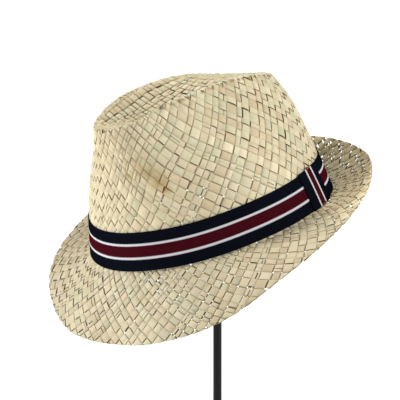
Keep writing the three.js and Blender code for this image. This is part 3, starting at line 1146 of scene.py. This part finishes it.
# The brim's plait: how far it runs in under the ribbon's lower edge and stops short at its own
# edge, and the bulge there of each strand's turned end. Then by turn from the front, with where a
# change starts and the turns that it takes: looser strands at the back, a little more room at the
# front corners, with their middle and spread, then the painted light towards the back, partly
# taken off again further round, and the painted shade on the wearer's right.
BRIM_PLAIT = {
    "inner": 0.6,
    "short": 0.5,
    "bulge": 0.9,
    "loose_back": (0.2, 82, 30),
    "loose_corner": (0.05, 45, 28),
    "painted_light_back": (0.85, 86, 20),
    "painted_light_middle": (-0.4, 116, 22),
    "painted_shade_right": (-0.22, 35, 30),
}


class TRILBY_OT_brim(bpy.types.Operator):
    """Plait the brim"""

    bl_idname = "trilby.brim"
    bl_label = "Brim"

    def execute(self, context):
        settings = context.scene.trilby_plait
        count = settings.brim_strands
        marks = (uneven_marks(count, UNEVEN_EDGES, 41), uneven_marks(count, UNEVEN_EDGES, 42))

        def low(turn):
            return np.full(np.shape(turn), -settings.seam * 1000 + BRIM_PLAIT["inner"])

        def high(turn):
            scallop = np.abs(np.sin(np.radians(turn * count / 2)))
            return brim_lengths.whole(turn) - BRIM_PLAIT["short"] + BRIM_PLAIT["bulge"] * scallop

        def loose(turn):
            at = half_turn(turn)[1]
            size, middle, spread = BRIM_PLAIT["loose_corner"]
            return ramped(at, *BRIM_PLAIT["loose_back"]) + size * np.exp(-((at - middle) / spread) ** 2)

        # Painted light towards the back of the brim and painted shade on the wearer's right side.
        def painted_lighting(turn):
            side, at = half_turn(turn)
            back = ramped(at, *BRIM_PLAIT["painted_light_back"]) + ramped(at, *BRIM_PLAIT["painted_light_middle"])
            return 1 + back + ramped(at, *BRIM_PLAIT["painted_shade_right"]) * (side < 0)

        pitch = settings.brim_pitch * 1000
        for family, name in ((0, "straw_brim_rising"), (1, "straw_brim_falling")):
            # Painted shade: the brim's straw is darker than the crown's, as the lamps light it more.
            plait = round_plait(
                settings, family, brim_sheet, no_warp, pitch, count, low, high, -1.0, 51, marks,
                fill=0.985, tone_and_painted_shade=0.69, loose=loose, painted_lighting=painted_lighting
            )
            finish_piece(plait.piece(name), "straw", "straw_hat")
        return {"FINISHED"}


NAVY = linear(11, 13, 21)
WHITE = linear(192, 190, 194)
BURGUNDY = linear(57, 11, 19)

# Where each stripe starts, as a share of the width.
BAND_STRIPES = [(0.0, NAVY), (0.299, WHITE), (0.357, BURGUNDY), (0.649, WHITE), (0.707, NAVY)]
KEEPER_STRIPES = [(0.0, NAVY), (0.344, WHITE), (0.404, BURGUNDY), (0.64, WHITE), (0.7, NAVY)]

# The ribbon: the radius that the run of its weave is reckoned on, its height over the wall, and
# the slow waves of both edges up and down and of its upper edge off the wall, each with its size,
# number and start.
RIBBON_RADIUS = 92.5
RIBBON_RISE = 0.3
EDGE_WAVES = ((0.15, 3, 40), (0.12, 7, 0))
RISE_WAVES = ((0.08, 11, 0),)

# The keeper: how far it goes past the ribbon's lower and upper edges, the sum of the two in
# metres, how high it lies over the wall, and its thickness.
KEEPER_BELOW = 0.6
KEEPER_ABOVE = 0.7
KEEPER_RISE = 1.3
KEEPER_THICKNESS = 0.6


def waves(turn, table):
    """Slow waves round the hat."""
    return sum(size * np.sin(np.radians(turn * number + start)) for size, number, start in table)


def two_faced(count):
    """Shares of a strap's width over its outer face and back along the inner, and 1 for outer."""
    share = np.linspace(0, 1, count)
    outer = np.concatenate([np.ones(count), np.zeros(count)])
    return np.concatenate([share, share[::-1]])[None, :], outer[None, :]


def strap(name, grid, along, across, faces, material):
    """Cloth over the crown, from grids of its turns, climbs and heights off the wall."""
    turn, climb, away = np.broadcast_arrays(*grid)
    points = to_world(lifted(crown_sheet, turn, climb, away).reshape(-1, 3))
    uv = np.stack(np.broadcast_arrays(along, across), -1).reshape(-1, 2)
    return new_mesh(name, points, faces, material, uv, sharp=50.0)


class TRILBY_OT_ribbon(bpy.types.Operator):
    """Wind the striped ribbon round the crown"""

    bl_idname = "trilby.ribbon"
    bl_label = "Ribbon"

    def execute(self, context):
        settings = context.scene.trilby_ribbon
        rows = 14
        turns = 300
        turn = (np.arange(turns) * 360.0 / turns)[:, None]
        across, outer = two_faced(rows)
        climb = settings.lift * 1000 + across * settings.width * 1000 + waves(turn, EDGE_WAVES)
        away = RIBBON_RISE + outer * settings.thickness * 1000 + waves(turn, RISE_WAVES) * across
        along = turn * math.pi * RIBBON_RADIUS / 180
        faces = swept_faces(turns, 2 * rows, True)[:, ::-1]
        material = ribbon_material("striped_ribbon", BAND_STRIPES)
        band = strap("ribbon_band_cloth", (turn, climb, away), along, across, faces, material)
        finish_piece(band, "ribbon", "ribbon_band")
        return {"FINISHED"}


class TRILBY_OT_keeper(bpy.types.Operator):
    """Lay the keeper over the ribbon's joint"""

    bl_idname = "trilby.keeper"
    bl_label = "Keeper"

    def execute(self, context):
        settings = context.scene.trilby_ribbon
        columns = 16
        rows = 24
        across, outer = two_faced(columns)
        low = settings.lift * 1000 - KEEPER_BELOW
        high = (settings.lift + settings.width) * 1000 + KEEPER_ABOVE
        climb = np.linspace(low, high, rows)[:, None]
        spread = math.degrees(settings.keeper_width * 1000 / ((HEAD_SIDE + HEAD_BACK) / 2))
        turn = settings.keeper_turn + (across - 0.5) * spread
        away = KEEPER_RISE + outer * KEEPER_THICKNESS
        faces = swept_faces(rows, 2 * columns, False, True)
        material = ribbon_material("keeper_ribbon", KEEPER_STRIPES)
        keeper = strap("ribbon_keeper_cloth", (turn, climb, away), climb, across, faces, material)
        finish_piece(keeper, "ribbon", "ribbon_keeper")
        return {"FINISHED"}


PIN = 0.01   # radius of the pinhole left in the middle of a turned piece


def turned(name, profile, steps, material):
    """A turned piece round the post, from its (radius, height) outline in millimetres."""
    profile = np.array(profile)
    angle = np.arange(steps) * 2 * math.pi / steps
    radius = profile[None, :, 0]
    around = [radius * np.cos(angle)[:, None], radius * np.sin(angle)[:, None]]
    points = np.stack([*around, np.broadcast_to(profile[None, :, 1], around[0].shape)], -1)
    count = len(profile)
    first = np.arange(steps)[:, None] * count + np.arange(count - 1)[None, :]
    second = (np.arange(steps)[:, None] + 1) % steps * count + np.arange(count - 1)[None, :]
    faces = np.stack([first, second, second + 1, first + 1], -1).reshape(-1, 4)
    return new_mesh(name, points.reshape(-1, 3) * 0.001, faces, material, sharp=35.0)


def rounded(radius, low, high, edge, steps=6):
    """The outline of a disc with rounded edges, open at its middle."""
    angle = np.radians(np.linspace(0, 90, steps + 1))
    bottom = [(radius - edge + edge * math.sin(a), low + edge - edge * math.cos(a)) for a in angle]
    top = [(radius - edge + edge * math.cos(a), high - edge + edge * math.sin(a)) for a in angle]
    return [(PIN, low), *bottom, *top, (PIN, high)]


# The keeper's stitches: the end they hold, and the turn and climb from it of where each goes in
# and comes out.
STITCHES = (
    ("top", (-1.2, -1.3), (-0.2, 0.9)),
    ("top", (0.4, 0.9), (1.6, -1.1)),
    ("foot", (-0.6, 0.8), (-1.5, -1.9)),
    ("foot", (1.0, 0.9), (0.3, -2.7)),
    ("foot", (2.1, -2.3), (3.2, 0.9)),
)
THREAD_RADIUS = 0.34
THREAD_SIDES = 8
THREAD_STEPS = 13
THREAD_LOW = 0.2      # how high it lies where it goes in
THREAD_HIGH = 2.0     # how much higher it arches over the cloth
THREAD_ARCH = 0.6     # less makes a flatter arch


class TRILBY_OT_stitches(bpy.types.Operator):
    """Sew the keeper down at its two ends"""

    bl_idname = "trilby.stitches"
    bl_label = "Stitches"

    def execute(self, context):
        settings = context.scene.trilby_ribbon
        climbs = {
            "top": (settings.lift + settings.width) * 1000 + KEEPER_ABOVE,
            "foot": settings.lift * 1000 - KEEPER_BELOW,
        }
        share = np.linspace(0, 1, THREAD_STEPS)
        angle = np.arange(THREAD_SIDES) * 2 * math.pi / THREAD_SIDES
        rings = []
        faces = []
        for end, goes_in, comes_out in STITCHES:
            corner = np.array([settings.keeper_turn, climbs[end]])
            start = corner + goes_in
            turns, heights = start[:, None] + (corner + comes_out - start)[:, None] * share
            away = THREAD_LOW + THREAD_HIGH * np.sin(math.pi * share) ** THREAD_ARCH
            line = lifted(lambda turn, climb: brim_sheet(turn, -climb), turns, heights, away)
            ahead = unit(np.gradient(line, axis=0))
            side = unit(np.cross(ahead, np.array([0.0, 0.0, 1.0])))
            up = np.cross(side, ahead)
            ring = np.cos(angle)[:, None] * side[:, None] + np.sin(angle)[:, None] * up[:, None]
            first = len(rings) * THREAD_STEPS * THREAD_SIDES
            faces.append(swept_faces(THREAD_STEPS, THREAD_SIDES, False, True) + first)
            rings.append((line[:, None] + THREAD_RADIUS * ring).reshape(-1, 3))
        points = to_world(np.concatenate(rings))
        stitches = new_mesh("keeper_stitches", points, np.concatenate(faces), thread_material())
        finish_piece(stitches, "ribbon", "ribbon_keeper")
        return {"FINISHED"}


def node_corners(name):
    """The corners of one of the frame's solids, in millimetres."""
    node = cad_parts[name]
    return np.array([node.matrix_world @ corner.co for corner in node.data.vertices]) * 1000


# The cap's chamfered rim, how far inside it the dome begins, and the steps of the dome's outline.
CAP_CHAMFER = 0.6
CAP_LIP = 1.0
CAP_STEPS = 24


class TRILBY_OT_stand(bpy.types.Operator):
    """Turn the stand's base, post and cap"""

    bl_idname = "trilby.stand"
    bl_label = "Stand"

    def execute(self, context):
        settings = context.scene.trilby_stand
        satin = black_material("black_satin", 0.42)
        matt = black_material("black_matt", 0.7)
        base, post, cap = (node_corners(name) for name in ("stand_base", "stand_post", "stand_cap"))
        disc = rounded(base[:, 0].max(), base[:, 2].min(), base[:, 2].max(), settings.edge * 1000)
        disc = turned("stand_base_disc", disc, settings.steps, satin)
        finish_piece(disc, "stand_metal", "stand_base")
        rod = [(post[:, 0].max(), height) for height in (post[:, 2].min(), post[:, 2].max())]
        rod = turned("stand_post_rod", rod, settings.steps // 2, satin)
        finish_piece(rod, "stand_metal", "stand_post")
        wide = cap[:, 0].max()
        low = cap[:, 2].min()
        tip = cap[:, 2].max()
        curve = settings.dome * 1000
        out = np.linspace(wide - CAP_LIP, PIN, CAP_STEPS)
        dome = [(r, tip - curve + math.sqrt(curve * curve - r * r)) for r in out]
        foot = [(PIN, low), (wide - CAP_CHAMFER, low), (wide, low + CAP_CHAMFER)]
        shell = [*foot, (wide, dome[0][1] - CAP_CHAMFER), *dome]
        shell = turned("stand_cap_dome", shell, settings.steps, matt)
        finish_piece(shell, "stand_cap", "stand_cap")
        return {"FINISHED"}


def from_direction(azimuth, elevation):
    """The way towards something seen at an azimuth from the front and a height, in degrees."""
    azimuth = math.radians(azimuth)
    elevation = math.radians(elevation)
    level = math.cos(elevation)
    return Vector((math.sin(azimuth) * level, -math.cos(azimuth) * level, math.sin(elevation)))


FLOOR_HALF = 12.0     # metres from its middle to its edge
FLOOR_TILES = 24
FLOOR_GAP = 0.0004    # metres from the floor to the stand
SKY_POWER = 0.4
SENSOR_WIDTH = 36.0
SHIFT = (-0.0343, 0.0436)

# Each light's azimuth and elevation, how wide it looks, in degrees, and its power.
LIGHTS = (
    ("key_light", -46.0, 26.0, 18.0, 3.2),
    ("side_light", 116.0, 28.0, 22.0, 2.8),
    ("top_light", -100.0, 66.0, 30.0, 0.9),
)


class TRILBY_OT_stage(bpy.types.Operator):
    """Set out the floor, the lights and the camera"""

    bl_idname = "trilby.stage"
    bl_label = "Stage"

    def execute(self, context):
        settings = context.scene.trilby_stage
        scene = context.scene
        steps = np.linspace(-FLOOR_HALF, FLOOR_HALF, FLOOR_TILES + 1)
        x, y = np.meshgrid(steps, steps, indexing="ij")
        points = np.stack([x, y, 0 * x - FLOOR_GAP], -1).reshape(-1, 3)
        i, j = np.meshgrid(np.arange(FLOOR_TILES), np.arange(FLOOR_TILES), indexing="ij")
        corner = (i * (FLOOR_TILES + 1) + j).ravel()
        beyond = corner + FLOOR_TILES + 1
        faces = np.stack([corner, beyond, beyond + 1, corner + 1], -1)
        new_mesh("floor", points, faces, floor_material())

        world = bpy.data.worlds.new("studio")
        world.use_nodes = True
        background = world.node_tree.nodes["Background"]
        background.inputs["Color"].default_value = (1.0, 1.0, 1.0, 1.0)
        background.inputs["Strength"].default_value = SKY_POWER
        scene.world = world

        for name, azimuth, elevation, angle, power in LIGHTS:
            data = bpy.data.lights.new(name, "SUN")
            data.energy = power
            data.angle = math.radians(angle)
            light = bpy.data.objects.new(name, data)
            light.location = from_direction(azimuth, elevation) * 2
            light.rotation_euler = light.location.to_track_quat("Z", "Y").to_euler()
            scene.collection.objects.link(light)

        back = from_direction(settings.azimuth, settings.elevation)
        data = bpy.data.cameras.new("camera")
        data.lens = settings.lens
        data.sensor_width = SENSOR_WIDTH
        data.shift_x, data.shift_y = SHIFT
        camera = bpy.data.objects.new("camera", data)
        camera.location = Vector(HAT_PLACE) + back * settings.distance
        camera.rotation_euler = back.to_track_quat("Z", "Y").to_euler()
        scene.collection.objects.link(camera)
        scene.camera = camera
        scene.view_settings.view_transform = "Standard"
        return {"FINISHED"}


class TRILBY_PT_panel(bpy.types.Panel):
    """Lists the steps that build the trilby"""

    bl_idname = "TRILBY_PT_panel"
    bl_label = "Plaited Trilby"
    bl_space_type = "VIEW_3D"
    bl_region_type = "UI"
    bl_category = "Trilby"

    def draw(self, context):
        for operator in OPERATORS:
            self.layout.operator(operator.bl_idname)


OPERATORS = (
    TRILBY_OT_crown,
    TRILBY_OT_top,
    TRILBY_OT_brim,
    TRILBY_OT_ribbon,
    TRILBY_OT_keeper,
    TRILBY_OT_stitches,
    TRILBY_OT_stand,
    TRILBY_OT_stage,
)
GROUPS = (
    ("trilby_plait", PlaitSettings),
    ("trilby_ribbon", RibbonSettings),
    ("trilby_stand", StandSettings),
    ("trilby_stage", StageSettings),
)


def register():
    for name, group in GROUPS:
        bpy.utils.register_class(group)
        setattr(bpy.types.Scene, name, bpy.props.PointerProperty(type=group))
    for kind in (*OPERATORS, TRILBY_PT_panel):
        bpy.utils.register_class(kind)


def unregister():
    for kind in (TRILBY_PT_panel, *reversed(OPERATORS)):
        bpy.utils.unregister_class(kind)
    for name, group in reversed(GROUPS):
        delattr(bpy.types.Scene, name)
        bpy.utils.unregister_class(group)


def main():
    register()
    bpy.ops.trilby.crown()
    bpy.ops.trilby.top()
    bpy.ops.trilby.brim()
    bpy.ops.trilby.ribbon()
    bpy.ops.trilby.keeper()
    bpy.ops.trilby.stitches()
    bpy.ops.trilby.stand()
    bpy.ops.trilby.stage()


if __name__ == "__main__":
    main()
